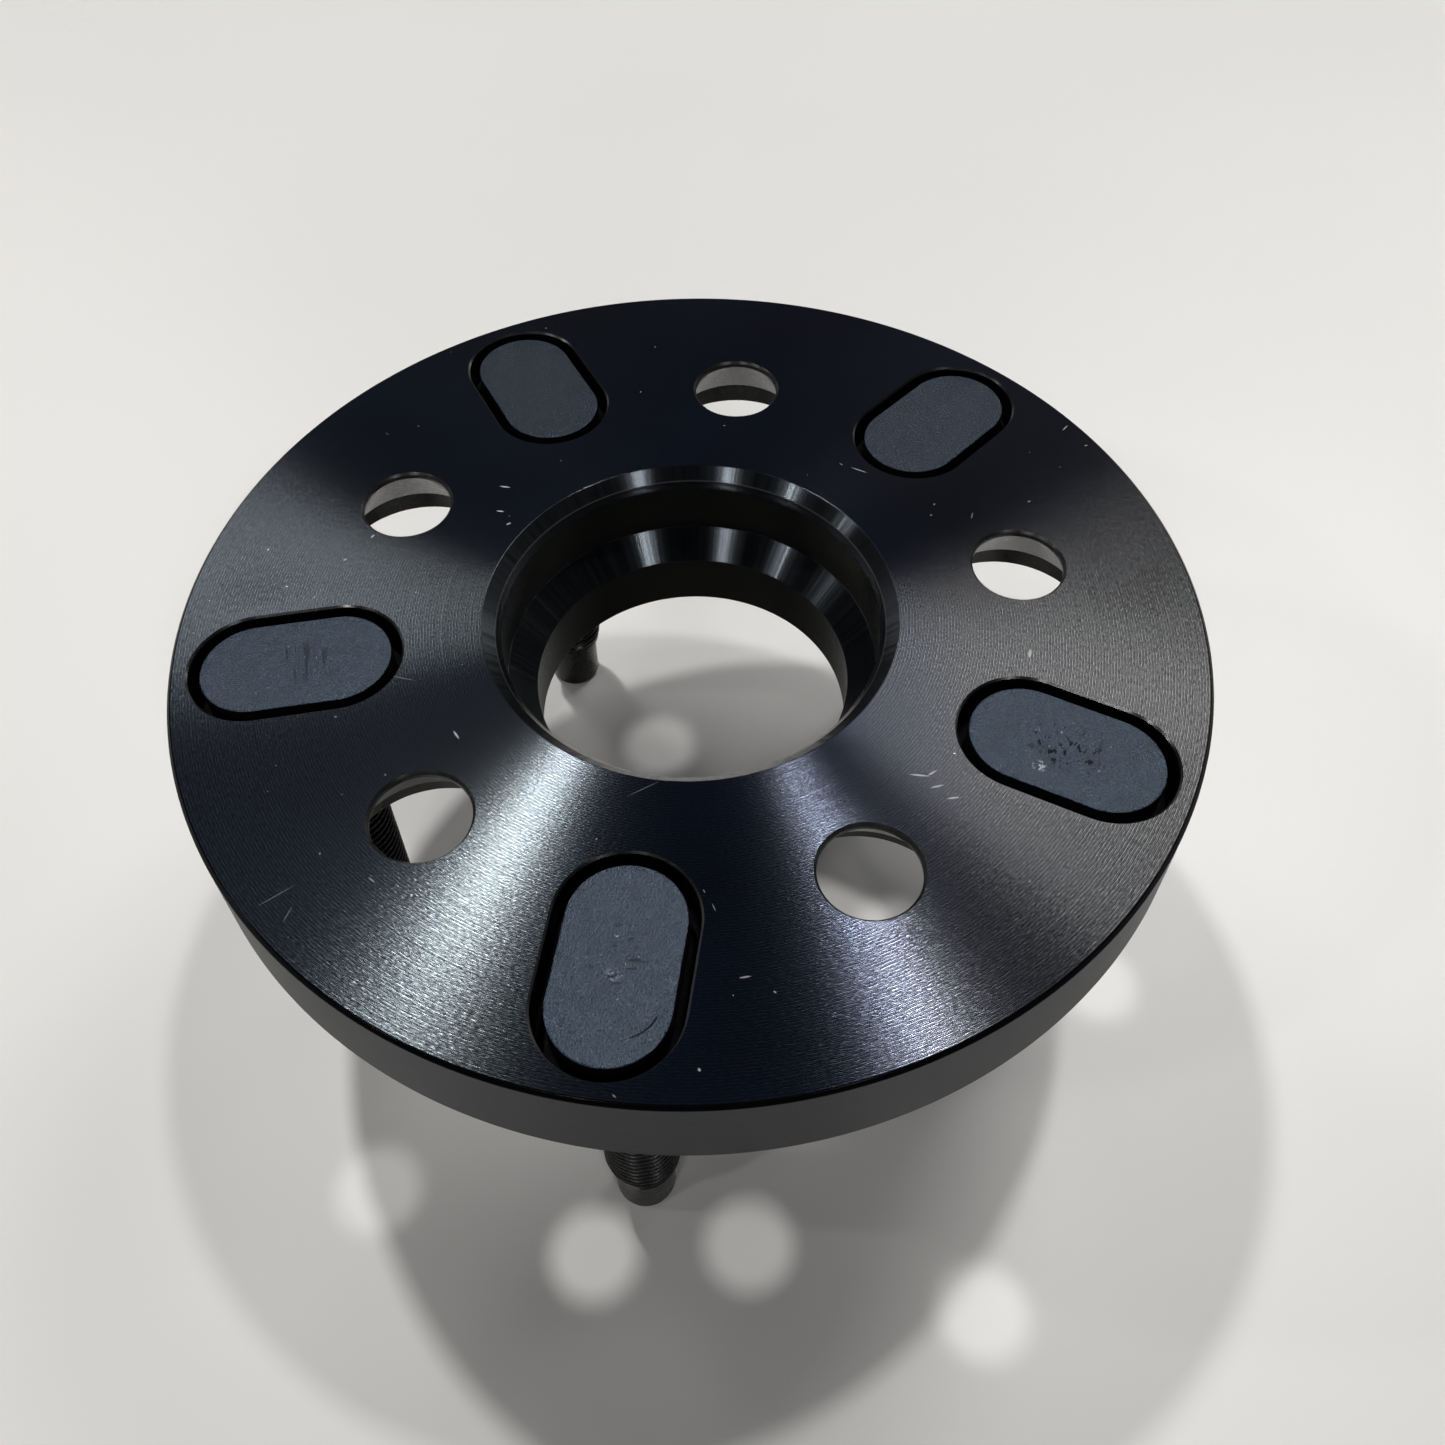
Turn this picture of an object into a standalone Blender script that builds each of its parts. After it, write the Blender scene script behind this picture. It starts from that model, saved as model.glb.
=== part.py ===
"""Bolt-on wheel spacer that carries a 5 x 114.3 mm wheel on a 5 x 100 mm hub.

A turned aluminium disc lies hub face up on the tips of its five pressed-in wheel studs. The hub's own
studs come through the five lug holes, whose cone seats and nut sockets open on the wheel face below.
Metres, +Z up. The origin is on the floor, on the disc's axis.
"""
import math

import bmesh
import bpy

# Bolt patterns
BOLT_COUNT = 5
HUB_BOLT_CIRCLE = 0.100
WHEEL_BOLT_CIRCLE = 0.1143
FIRST_LUG_HOLE_ANGLE = math.radians(90)

# Disc
DISC_THICKNESS = 0.015
RIM_WALL = 0.0028
RIM_CHAMFER = 0.0005

# Recess for the hub's spigot, and the two-cut chamfer that leads into it
RECESS_DIAMETER = 0.0561
RECESS_FLOOR_WALL = 0.0036
LEAD_IN_WIDTH = 0.00075
LEAD_IN_DEPTH = 0.0010
ENTRY_CHAMFER = 0.0018

# Spigot that centres the wheel, on the wheel face
SPIGOT_DIAMETER = 0.0561
SPIGOT_HEIGHT = 0.010
SPIGOT_WALL = 0.00405
SPIGOT_LEAD = 0.0015
SPIGOT_EDGE = 0.0005

# Lug holes, from the hub face down: edge break, land, cone seat, nut socket
LUG_HOLE_DIAMETER = 0.0136
LUG_EDGE = 0.0004
LUG_LAND = 0.0010
NUT_SEAT_HALF_ANGLE = math.radians(30)
NUT_SEAT_WIDTH = 0.0044
SOCKET_SHELF = 0.0028
SOCKET_EDGE = 0.0005

# Wheel studs
THREAD_DIAMETER = 0.012
KNURL_RISE = 0.00115
KNURL_TOOTH_HEIGHT = 0.0004
KNURL_TEETH = 36
KNURL_INSET = 0.0008
HEAD_OVERHANG = 0.00065
HEAD_EXTRA_LENGTH = 0.0115
HEAD_THICKNESS = 0.005
HEAD_SINK = 0.00035
HEAD_EDGE = 0.0004
STUD_LENGTH = 0.0715
PILOT_STEP = 0.00125
PILOT_LENGTH = 0.0108
THREAD_END_CHAMFER = 0.0005
TIP_CHAMFER = 0.0006

# Clearances
POCKET_CLEARANCE = 0.0015
POCKET_EDGE = 0.0004
SEAT_GAP = 0.0003
KNURL_GAP = 0.0003

# Rounding of the circles
DISC_STEPS = 120
HOLE_STEPS = 40
SHANK_STEPS = 32
ROUND_END_STEPS = 14
WELD_DISTANCE = 0.00001
OVERRUN = 0.001
SHARP_ANGLE = math.radians(25)

# Sizes that follow from those above
KNURL_DIAMETER = THREAD_DIAMETER + 2 * KNURL_RISE
HEAD_WIDTH = KNURL_DIAMETER + 2 * HEAD_OVERHANG
HEAD_LENGTH = HEAD_WIDTH + HEAD_EXTRA_LENGTH
HEAD_UNDERSIDE = HEAD_SINK + HEAD_THICKNESS
POCKET_WIDTH = HEAD_WIDTH + 2 * POCKET_CLEARANCE
POCKET_LENGTH = HEAD_LENGTH + 2 * POCKET_CLEARANCE
POCKET_DEPTH = HEAD_UNDERSIDE + SEAT_GAP
STUD_BORE_DIAMETER = KNURL_DIAMETER + 2 * KNURL_GAP
DISC_DIAMETER = WHEEL_BOLT_CIRCLE + POCKET_LENGTH + 2 * RIM_WALL
RECESS_DEPTH = DISC_THICKNESS - RECESS_FLOOR_WALL
SPIGOT_BORE_DIAMETER = SPIGOT_DIAMETER - 2 * SPIGOT_WALL
HUB_FACE_HEIGHT = HEAD_UNDERSIDE + STUD_LENGTH

PARTS_COLLECTION = "wheel_spacer"
CUTTERS_COLLECTION = "cutters"


def clear_scene():
    for item in list(bpy.data.objects):
        bpy.data.objects.remove(item, do_unlink=True)


def new_collection(name):
    collection = bpy.data.collections.new(name)
    bpy.context.scene.collection.children.link(collection)
    return collection


def principled(name, colour, roughness, metallic):
    material = bpy.data.materials.new(name)
    material.use_nodes = True
    shader = material.node_tree.nodes["Principled BSDF"]
    shader.inputs["Base Color"].default_value = (*colour, 1)
    shader.inputs["Roughness"].default_value = roughness
    shader.inputs["Metallic"].default_value = metallic
    return material


def black_anodised_aluminium():
    return principled("black_anodised_aluminium", (0.018, 0.020, 0.027), 0.32, 0.55)


def dark_coated_steel():
    return principled("dark_coated_steel", (0.045, 0.052, 0.064), 0.48, 0.75)


def new_object(name, data, collection):
    item = bpy.data.objects.new(name, data)
    collection.objects.link(item)
    return item


def evaluated_mesh(item):
    """The mesh that an object's curve and modifiers make, with its loose caps welded."""
    bpy.context.view_layer.update()
    graph = bpy.context.evaluated_depsgraph_get()
    mesh = bpy.data.meshes.new_from_object(item.evaluated_get(graph))
    work = bmesh.new()
    work.from_mesh(mesh)
    bmesh.ops.remove_doubles(work, verts=work.verts, dist=WELD_DISTANCE)
    work.to_mesh(mesh)
    work.free()
    return mesh


def turned(name, profile, steps, collection, closed):
    """A turned shape: the profile's (radius, height) points run down the outside, top to bottom."""
    edges = [(i, i + 1) for i in range(len(profile) - 1)]
    if closed:
        edges.append((len(profile) - 1, 0))
    mesh = bpy.data.meshes.new(name)
    mesh.from_pydata([(radius, 0, height) for radius, height in profile], edges, [])
    item = new_object(name, mesh, collection)
    screw = item.modifiers.new("turn", "SCREW")
    screw.axis = "Z"
    screw.steps = steps
    screw.render_steps = steps
    screw.use_merge_vertices = True
    screw.merge_threshold = WELD_DISTANCE
    return item


def prism(name, outline, low, high, collection):
    """A flat outline of (x, y) points, extruded between two heights, as a welded mesh."""
    curve = bpy.data.curves.new(name, "CURVE")
    curve.dimensions = "2D"
    curve.fill_mode = "BOTH"
    curve.extrude = (high - low) / 2
    spline = curve.splines.new("POLY")
    spline.points.add(len(outline) - 1)
    for point, (x, y) in zip(spline.points, outline):
        point.co = (x, y, 0, 1)
    spline.use_cyclic_u = True
    drawn = new_object(name + "_outline", curve, collection)
    mesh = evaluated_mesh(drawn)
    bpy.data.objects.remove(drawn, do_unlink=True)
    item = new_object(name, mesh, collection)
    item.location.z = (low + high) / 2
    return item


def obround(length, width):
    """Points round a slot shape that is longest along X: two half circles joined by straight sides."""
    points = []
    for side in (1, -1):
        centre = side * (length - width) / 2
        for step in range(ROUND_END_STEPS + 1):
            turn = math.pi * (step / ROUND_END_STEPS - 0.5) + (0 if side > 0 else math.pi)
            points.append((centre + width / 2 * math.cos(turn), width / 2 * math.sin(turn)))
    return points


def serrated_circle(diameter, tooth_height, teeth):
    """Points round a circle of straight knurl teeth: crest, root, crest, root."""
    points = []
    for step in range(2 * teeth):
        radius = diameter / 2 - (tooth_height if step % 2 else 0)
        turn = math.pi * step / teeth
        points.append((radius * math.cos(turn), radius * math.sin(turn)))
    return points


def bevel_edges(item, width, segments):
    bevel = item.modifiers.new("edge", "BEVEL")
    bevel.width = width
    bevel.segments = segments
    bevel.limit_method = "ANGLE"
    bevel.angle_limit = math.radians(60)


def boolean(item, other, operation):
    step = item.modifiers.new(other.name, "BOOLEAN")
    step.operation = operation
    step.solver = "EXACT"
    step.object = other


def as_cutter(item):
    item.hide_render = True
    item.display_type = "WIRE"
    return item


def place_on_circle(item, circle_diameter, angle):
    """Puts a piece drawn round its own axis on a bolt circle, its X axis pointing outwards."""
    item.location.x = circle_diameter / 2 * math.cos(angle)
    item.location.y = circle_diameter / 2 * math.sin(angle)
    item.rotation_euler.z = angle


def lug_hole_angles():
    return [FIRST_LUG_HOLE_ANGLE + 2 * math.pi * i / BOLT_COUNT for i in range(BOLT_COUNT)]


def stud_angles():
    """Each stud stands midway between two lug holes."""
    return [angle + math.pi / BOLT_COUNT for angle in lug_hole_angles()]


def disc_profile():
    """Half section of the body, heights from the hub face: rim, wheel face, spigot, bore, recess."""
    rim = DISC_DIAMETER / 2
    recess = RECESS_DIAMETER / 2
    spigot = SPIGOT_DIAMETER / 2
    bore = SPIGOT_BORE_DIAMETER / 2
    spigot_end = DISC_THICKNESS + SPIGOT_HEIGHT
    cone_end = RECESS_DEPTH + recess - bore
    return [
        (rim - RIM_CHAMFER, 0),
        (rim, -RIM_CHAMFER),
        (rim, RIM_CHAMFER - DISC_THICKNESS),
        (rim - RIM_CHAMFER, -DISC_THICKNESS),
        (spigot, -DISC_THICKNESS),
        (spigot, SPIGOT_LEAD - spigot_end),
        (spigot - SPIGOT_LEAD, -spigot_end),
        (bore + SPIGOT_EDGE, -spigot_end),
        (bore, SPIGOT_EDGE - spigot_end),
        (bore, -cone_end),
        (recess, -RECESS_DEPTH),
        (recess, -ENTRY_CHAMFER - LEAD_IN_DEPTH),
        (recess + LEAD_IN_WIDTH, -ENTRY_CHAMFER),
        (recess + LEAD_IN_WIDTH + ENTRY_CHAMFER, 0),
    ]


def lug_hole_profile():
    """Half section of what is cut for a lug hole, from above the hub face to below the wheel face."""
    hole = LUG_HOLE_DIAMETER / 2
    seat = hole + NUT_SEAT_WIDTH
    socket = seat + SOCKET_SHELF
    seat_end = LUG_LAND + NUT_SEAT_WIDTH / math.tan(NUT_SEAT_HALF_ANGLE)
    return [
        (0, OVERRUN),
        (hole + LUG_EDGE + OVERRUN, OVERRUN),
        (hole, -LUG_EDGE),
        (hole, -LUG_LAND),
        (seat, -seat_end),
        (socket, -seat_end),
        (socket, SOCKET_EDGE - DISC_THICKNESS),
        (socket + SOCKET_EDGE + OVERRUN, -DISC_THICKNESS - OVERRUN),
        (0, -DISC_THICKNESS - OVERRUN),
    ]


def stud_bore_profile():
    bore = STUD_BORE_DIAMETER / 2
    return [(0, OVERRUN), (bore, OVERRUN), (bore, -DISC_THICKNESS - OVERRUN), (0, -DISC_THICKNESS - OVERRUN)]


def shank_profile():
    """Half section of a stud's shank: threaded length, end chamfer, pilot, tip."""
    thread = THREAD_DIAMETER / 2
    pilot = thread - PILOT_STEP
    tip = HEAD_UNDERSIDE + STUD_LENGTH
    thread_end = tip - PILOT_LENGTH
    top = HEAD_SINK + HEAD_THICKNESS / 2
    return [
        (0, -top),
        (thread, -top),
        (thread, THREAD_END_CHAMFER - thread_end),
        (thread - THREAD_END_CHAMFER, -thread_end),
        (pilot, -thread_end),
        (pilot, TIP_CHAMFER - tip),
        (pilot - TIP_CHAMFER, -tip),
        (0, -tip),
    ]


def head_pocket(name, cutters):
    """The slot that a stud's head lies in. A wider, bevelled slot over it breaks its edge."""
    deep = prism(name, obround(POCKET_LENGTH, POCKET_WIDTH), -POCKET_DEPTH, OVERRUN, cutters)
    flare = POCKET_EDGE + OVERRUN
    wide = obround(POCKET_LENGTH + 2 * POCKET_EDGE, POCKET_WIDTH + 2 * POCKET_EDGE)
    edge = prism(name + "_edge", wide, -flare, flare, cutters)
    bevel_edges(edge, flare, 1)
    return [as_cutter(deep), as_cutter(edge)]


def spacer_body(parts, cutters):
    """The turned disc with its spigot, then the lug holes, the stud bores and the head pockets."""
    body = turned("spacer_body", disc_profile(), DISC_STEPS, parts, closed=True)
    tools = []
    for number, angle in enumerate(lug_hole_angles(), 1):
        hole = turned(f"lug_hole_{number}", lug_hole_profile(), HOLE_STEPS, cutters, closed=False)
        place_on_circle(hole, HUB_BOLT_CIRCLE, angle)
        tools.append(as_cutter(hole))
    for number, angle in enumerate(stud_angles(), 1):
        bore = turned(f"stud_bore_{number}", stud_bore_profile(), HOLE_STEPS, cutters, closed=False)
        for tool in [as_cutter(bore), *head_pocket(f"head_pocket_{number}", cutters)]:
            place_on_circle(tool, WHEEL_BOLT_CIRCLE, angle)
            tools.append(tool)
    for tool in tools:
        tool.location.z += HUB_FACE_HEIGHT
        boolean(body, tool, "DIFFERENCE")
    body.location.z = HUB_FACE_HEIGHT
    body.data.materials.append(black_anodised_aluminium())
    return body


def stud_mesh(cutters):
    """One stud drawn round its own axis, with the hub face at height 0: head, knurl and shank joined."""
    shank = turned("stud_shank", shank_profile(), SHANK_STEPS, cutters, closed=False)
    head_outline = obround(HEAD_LENGTH, HEAD_WIDTH)
    head = prism("stud_head", head_outline, -HEAD_UNDERSIDE, -HEAD_SINK, cutters)
    bevel_edges(head, HEAD_EDGE, 2)
    knurl_outline = serrated_circle(KNURL_DIAMETER, KNURL_TOOTH_HEIGHT, KNURL_TEETH)
    knurl_top = HEAD_UNDERSIDE - OVERRUN
    knurl_end = DISC_THICKNESS - KNURL_INSET
    knurl = prism("stud_knurl", knurl_outline, -knurl_end, -knurl_top, cutters)
    boolean(shank, head, "UNION")
    boolean(shank, knurl, "UNION")
    mesh = evaluated_mesh(shank)
    for piece in (shank, head, knurl):
        bpy.data.objects.remove(piece, do_unlink=True)
    return mesh


def wheel_studs(parts, cutters):
    mesh = stud_mesh(cutters)
    mesh.materials.clear()
    mesh.materials.append(dark_coated_steel())
    studs = []
    for number, angle in enumerate(stud_angles(), 1):
        stud = new_object(f"stud_{number}", mesh, parts)
        place_on_circle(stud, WHEEL_BOLT_CIRCLE, angle)
        stud.location.z = HUB_FACE_HEIGHT
        studs.append(stud)
    return studs


def shade(item):
    item.data.shade_smooth()
    item.data.set_sharp_from_angle(angle=SHARP_ANGLE)


def build():
    clear_scene()
    parts = new_collection(PARTS_COLLECTION)
    cutters = new_collection(CUTTERS_COLLECTION)
    carrier = new_object(PARTS_COLLECTION, None, parts)
    pieces = [spacer_body(parts, cutters), *wheel_studs(parts, cutters)]
    for piece in pieces:
        piece.parent = carrier
    for stud in pieces[1:]:
        shade(stud)


build()
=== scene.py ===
"""Looks for the wheel spacer: finer body and threaded studs, materials, floor, lights and camera."""
import math

import bmesh
import bpy
from mathutils import Matrix, Vector


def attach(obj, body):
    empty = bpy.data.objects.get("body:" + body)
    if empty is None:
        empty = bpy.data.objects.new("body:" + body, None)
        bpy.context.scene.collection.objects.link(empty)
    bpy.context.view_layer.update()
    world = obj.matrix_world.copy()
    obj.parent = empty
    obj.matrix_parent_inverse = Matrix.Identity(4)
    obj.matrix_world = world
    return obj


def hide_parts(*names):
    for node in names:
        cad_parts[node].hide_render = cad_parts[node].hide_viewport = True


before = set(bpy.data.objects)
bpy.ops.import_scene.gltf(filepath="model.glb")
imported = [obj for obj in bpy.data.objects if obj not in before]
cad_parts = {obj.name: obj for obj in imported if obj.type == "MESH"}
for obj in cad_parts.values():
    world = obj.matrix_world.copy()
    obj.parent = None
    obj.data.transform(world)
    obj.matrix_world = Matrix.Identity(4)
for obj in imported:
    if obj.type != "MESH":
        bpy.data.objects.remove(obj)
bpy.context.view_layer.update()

MM = 0.001

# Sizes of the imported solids, in millimetres. Depths and ends are counted down from the hub face.
FACE_Z = 76.85
THICKNESS = 15.0
RIM_R = 75.0
BORE_R = 24.0
EDGE = 0.5
RECESS_R = 28.05
RECESS_DEPTH = 11.4
LEAD_IN_WIDTH = 0.75
LEAD_IN_DEPTH = 1.0
ENTRY_CHAMFER = 1.8
SPIGOT_R = 28.05
SPIGOT_END = 25.0
SPIGOT_LEAD = 1.5

HUB_CIRCLE_R = 50.0
WHEEL_CIRCLE_R = 57.15
HOLE_ANGLES = [90 + 72 * i for i in range(5)]
STUD_ANGLES = [126 + 72 * i for i in range(5)]

LUG_R = 6.8
LUG_EDGE = 0.4
LUG_LAND = 1.0
SEAT_R = 11.2
SEAT_END = 8.62
SOCKET_R = 14.0

POCKET = (30.1, 18.6)
POCKET_DEPTH = 5.65
STUD_BORE_R = 7.45

HEAD = (27.1, 15.6)
HEAD_TOP = 0.35
HEAD_UNDER = 5.35
KNURL_R = 7.15
KNURL_TOOTH = 0.4
KNURL_TEETH = 36
KNURL_END = 14.2
NECK_R = 5.55
THREAD_R = 6.0
THREAD_ROOT_R = 5.1
THREAD_PITCH = 1.5
THREAD_TOP = 15.6
THREAD_END = 66.05
THREAD_END_CHAMFER = 0.5
RUN_OUT_TURNS = 1.5
PILOT_R = 4.75

# How far cutters pass the surfaces that they cut, and how far joined forms reach into each other
OVERRUN = 1.0
OVERLAP = 0.3
CUTTER_CORE_R = 0.4

# The camera was solved in a frame turned about Z from the part's own
TURN = math.radians(10.3625)

DISC_STEPS = 360
HOLE_STEPS = 96
POCKET_END_STEPS = 24
HEAD_END_STEPS = 32
THREAD_STEPS = 48

# Points closer than this are one point, in metres: in a mesh as drawn, and after a union or a cut
WELD = 1e-7
WELD_AFTER_CUT = 1e-6

# A face is level where its normal's Z is above the first, and upright where it is below the second
LEVEL_Z = 0.9999
UPRIGHT_Z = 0.2

# Edges sharper than this stay sharp, in degrees
BODY_CREASE = 24
STUD_CREASE = 40


def rounded(points, radii, segments=4, closed=True):
    """A polyline whose corners are rounded: each corner takes its own radius, 0 leaves it sharp."""
    result = []
    count = len(points)
    for i, corner in enumerate(points):
        radius = radii[i]
        if radius == 0 or (not closed and i in (0, count - 1)):
            result.append(tuple(corner))
            continue
        corner = Vector(corner)
        before = (Vector(points[i - 1]) - corner).normalized()
        after = (Vector(points[(i + 1) % count]) - corner).normalized()
        half = before.angle(after) / 2
        reach = radius / math.tan(half)
        centre = corner + (before + after).normalized() * (radius / math.sin(half))
        start = corner + before * reach - centre
        end = corner + after * reach - centre
        turn = math.atan2(start.x * end.y - start.y * end.x, start.dot(end))
        for step in range(segments + 1):
            swing = turn * step / segments
            x = start.x * math.cos(swing) - start.y * math.sin(swing)
            y = start.x * math.sin(swing) + start.y * math.cos(swing)
            result.append((centre.x + x, centre.y + y))
    return result


def mesh_of(name, verts, faces):
    """A mesh from points in millimetres, with its faces turned outward."""
    mesh = bpy.data.meshes.new(name)
    mesh.from_pydata([Vector(v) * MM for v in verts], [], faces)
    work = bmesh.new()
    work.from_mesh(mesh)
    bmesh.ops.remove_doubles(work, verts=work.verts, dist=WELD)
    bmesh.ops.recalc_face_normals(work, faces=work.faces)
    work.to_mesh(mesh)
    work.free()
    return mesh


def stack(rings, closed):
    """Points and faces that join rings of equally many points.

    Closed joins the last ring to the first; otherwise both ends are capped.
    """
    size = len(rings[0])
    verts = [point for ring in rings for point in ring]
    faces = []
    count = len(rings)
    for r in range(count if closed else count - 1):
        low, high = r * size, (r + 1) % count * size
        for i in range(size):
            j = (i + 1) % size
            faces.append((low + i, low + j, high + j, high + i))
    if not closed:
        faces.append(tuple(range(size)))
        faces.append(tuple((count - 1) * size + i for i in range(size)))
    return verts, faces


def circle(radius, height, steps):
    turns = [2 * math.pi * i / steps for i in range(steps)]
    return [(radius * math.cos(turn), radius * math.sin(turn), height) for turn in turns]


def lathe(name, profile, steps, closed):
    return mesh_of(name, *stack([circle(r, z, steps) for r, z in profile], closed))


def slot_ring(length, width, height, steps=POCKET_END_STEPS):
    """Points of an obround whose long axis is X. A width equal to the length gives a circle."""
    ring = []
    straight = (length - width) / 2
    for side in (1, -1):
        for i in range(steps + 1):
            turn = math.pi * (i / steps - 0.5) + (0 if side > 0 else math.pi)
            x = side * straight + width / 2 * math.cos(turn)
            ring.append((x, width / 2 * math.sin(turn), height))
    return ring


def place(mesh, radius, degrees):
    """Moves a mesh drawn round its own axis to its place on a bolt circle of the hub face."""
    turn = math.radians(degrees)
    at = Matrix.Translation((radius * MM * math.cos(turn), radius * MM * math.sin(turn), FACE_Z * MM))
    mesh.transform(at @ Matrix.Rotation(turn, 4, "Z"))
    return mesh


def new_object(name, data):
    item = bpy.data.objects.new(name, data)
    bpy.context.scene.collection.objects.link(item)
    return item


def join_meshes(name, meshes):
    joined = bmesh.new()
    for mesh in meshes:
        joined.from_mesh(mesh)
    mesh = bpy.data.meshes.new(name)
    joined.to_mesh(mesh)
    joined.free()
    return mesh


def evaluated_mesh(item):
    """The mesh that an object's modifiers make."""
    bpy.context.view_layer.update()
    graph = bpy.context.evaluated_depsgraph_get()
    return bpy.data.meshes.new_from_object(item.evaluated_get(graph))


def combined(name, base, others, operation):
    """One closed mesh: the base with the other meshes added to it or cut from it."""
    result = new_object(name, base)
    tools = [new_object(name, mesh) for mesh in others]
    for tool in tools:
        step = result.modifiers.new("step", "BOOLEAN")
        step.operation = operation
        step.solver = "EXACT"
        step.object = tool
    mesh = evaluated_mesh(result)
    for item in [result] + tools:
        bpy.data.objects.remove(item)
    mesh.name = name
    work = bmesh.new()
    work.from_mesh(mesh)
    bmesh.ops.remove_doubles(work, verts=work.verts, dist=WELD_AFTER_CUT)
    bmesh.ops.dissolve_degenerate(work, edges=work.edges, dist=WELD_AFTER_CUT)
    work.to_mesh(mesh)
    work.free()
    return mesh


def smooth_but_flat_faces(mesh, degrees):
    """Smooth shading inside each curved surface; flat faces stay flat up to their edges."""
    work = bmesh.new()
    work.from_mesh(mesh)
    limit = math.radians(degrees)
    for face in work.faces:
        face.smooth = True
    for edge in work.edges:
        if len(edge.link_faces) != 2:
            continue
        flat = [abs(face.normal.z) > LEVEL_Z for face in edge.link_faces]
        edge.smooth = edge.calc_face_angle(0) < limit and flat[0] == flat[1]
    work.to_mesh(mesh)
    work.free()


def weigh_normals(item):
    """Lets each large face keep its own direction, so that only the narrow rounds beside it look rounded."""
    weigh = item.modifiers.new("weigh", "WEIGHTED_NORMAL")
    weigh.mode = "FACE_AREA"
    weigh.weight = 100
    weigh.keep_sharp = True
    mesh = evaluated_mesh(item)
    item.modifiers.clear()
    item.data = mesh


# The body


def body_profile():
    """The disc's section as radius and height, from the rim's upper edge by the wheel face to the recess."""
    lead_in_r = RECESS_R + LEAD_IN_WIDTH
    corners_and_rounding = [
        ((RIM_R - EDGE, 0), 0.3),
        ((RIM_R, -EDGE), 0.3),
        ((RIM_R, EDGE - THICKNESS), 0.3),
        ((RIM_R - EDGE, -THICKNESS), 0.3),
        ((SPIGOT_R, -THICKNESS), 0.4),
        ((SPIGOT_R, SPIGOT_LEAD - SPIGOT_END), 0.5),
        ((SPIGOT_R - SPIGOT_LEAD, -SPIGOT_END), 0.5),
        ((BORE_R + EDGE, -SPIGOT_END), 0.3),
        ((BORE_R, EDGE - SPIGOT_END), 0.3),
        ((BORE_R, -RECESS_DEPTH - RECESS_R + BORE_R), 0.12),
        ((RECESS_R, -RECESS_DEPTH), 0.25),
        ((RECESS_R, -ENTRY_CHAMFER - LEAD_IN_DEPTH), 0.12),
        ((lead_in_r, -ENTRY_CHAMFER), 0.12),
        ((lead_in_r + ENTRY_CHAMFER, 0), 0.15),
    ]
    corners, rounding = zip(*corners_and_rounding)
    return rounded(corners, rounding)


def lug_hole_cutter():
    """Edge break, land, cone seat and nut socket, from above the hub face to below the wheel face."""
    corners_and_rounding = [
        ((CUTTER_CORE_R, OVERRUN), 0),
        ((LUG_R + LUG_EDGE + OVERRUN, OVERRUN), 0),
        ((LUG_R, -LUG_EDGE), 0.2),
        ((LUG_R, -LUG_LAND), 0.12),
        ((SEAT_R, -SEAT_END), 0.15),
        ((SOCKET_R, -SEAT_END), 0.25),
        ((SOCKET_R, EDGE - THICKNESS), 0.25),
        ((SOCKET_R + EDGE + OVERRUN, -THICKNESS - OVERRUN), 0),
        ((CUTTER_CORE_R, -THICKNESS - OVERRUN), 0),
    ]
    corners, rounding = zip(*corners_and_rounding)
    profile = rounded(corners, rounding, segments=3, closed=False)
    return lathe("lug_hole", profile, HOLE_STEPS, closed=False)


def pocket_cutter():
    """The head's slot with a broken edge and a small fillet at its floor, and the stud bore below it."""
    length, width = POCKET
    growth_and_height = [
        (1.4, OVERRUN), (0.4, 0.0), (0.12, -0.26), (0.0, -0.55),
        (0.0, 0.5 - POCKET_DEPTH), (-0.15, 0.15 - POCKET_DEPTH), (-0.5, -POCKET_DEPTH),
    ]
    rings = [slot_ring(length + 2 * grow, width + 2 * grow, z) for grow, z in growth_and_height]
    for z in (-POCKET_DEPTH, -THICKNESS - OVERRUN):
        rings.append(slot_ring(2 * STUD_BORE_R, 2 * STUD_BORE_R, z))
    return mesh_of("pocket", *stack(rings, closed=False))


def spacer_body():
    disc = lathe("disc", body_profile(), DISC_STEPS, closed=True)
    disc.transform(Matrix.Translation((0, 0, FACE_Z * MM)))
    cutters = [place(lug_hole_cutter(), HUB_CIRCLE_R, degrees) for degrees in HOLE_ANGLES]
    cutters += [place(pocket_cutter(), WHEEL_CIRCLE_R, degrees) for degrees in STUD_ANGLES]
    tool = join_meshes("cutters", cutters)
    return new_object("turned_body", combined("turned_body", disc, [tool], "DIFFERENCE"))


HUB_FACE, WHEEL_FACE, TURNED, SIDE, HOLE, POCKET_WALL, POCKET_EDGE, POCKET_FLOOR, BORE_WALL = range(9)

# Where the body's zones end, in millimetres
FACE_BAND = 0.001
HOLE_ZONE_R = 14.6
POCKETS_FROM_R = 34.0
POCKETS_TO_R = 73.5
POCKET_EDGE_DEPTH = 0.55
POCKET_FLOOR_BAND = 0.6
SIDE_FROM_R = RIM_R - 0.02
BORE_TO_R = RECESS_R + 0.1
TURNED_TO_R = SPIGOT_R + 5


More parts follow.
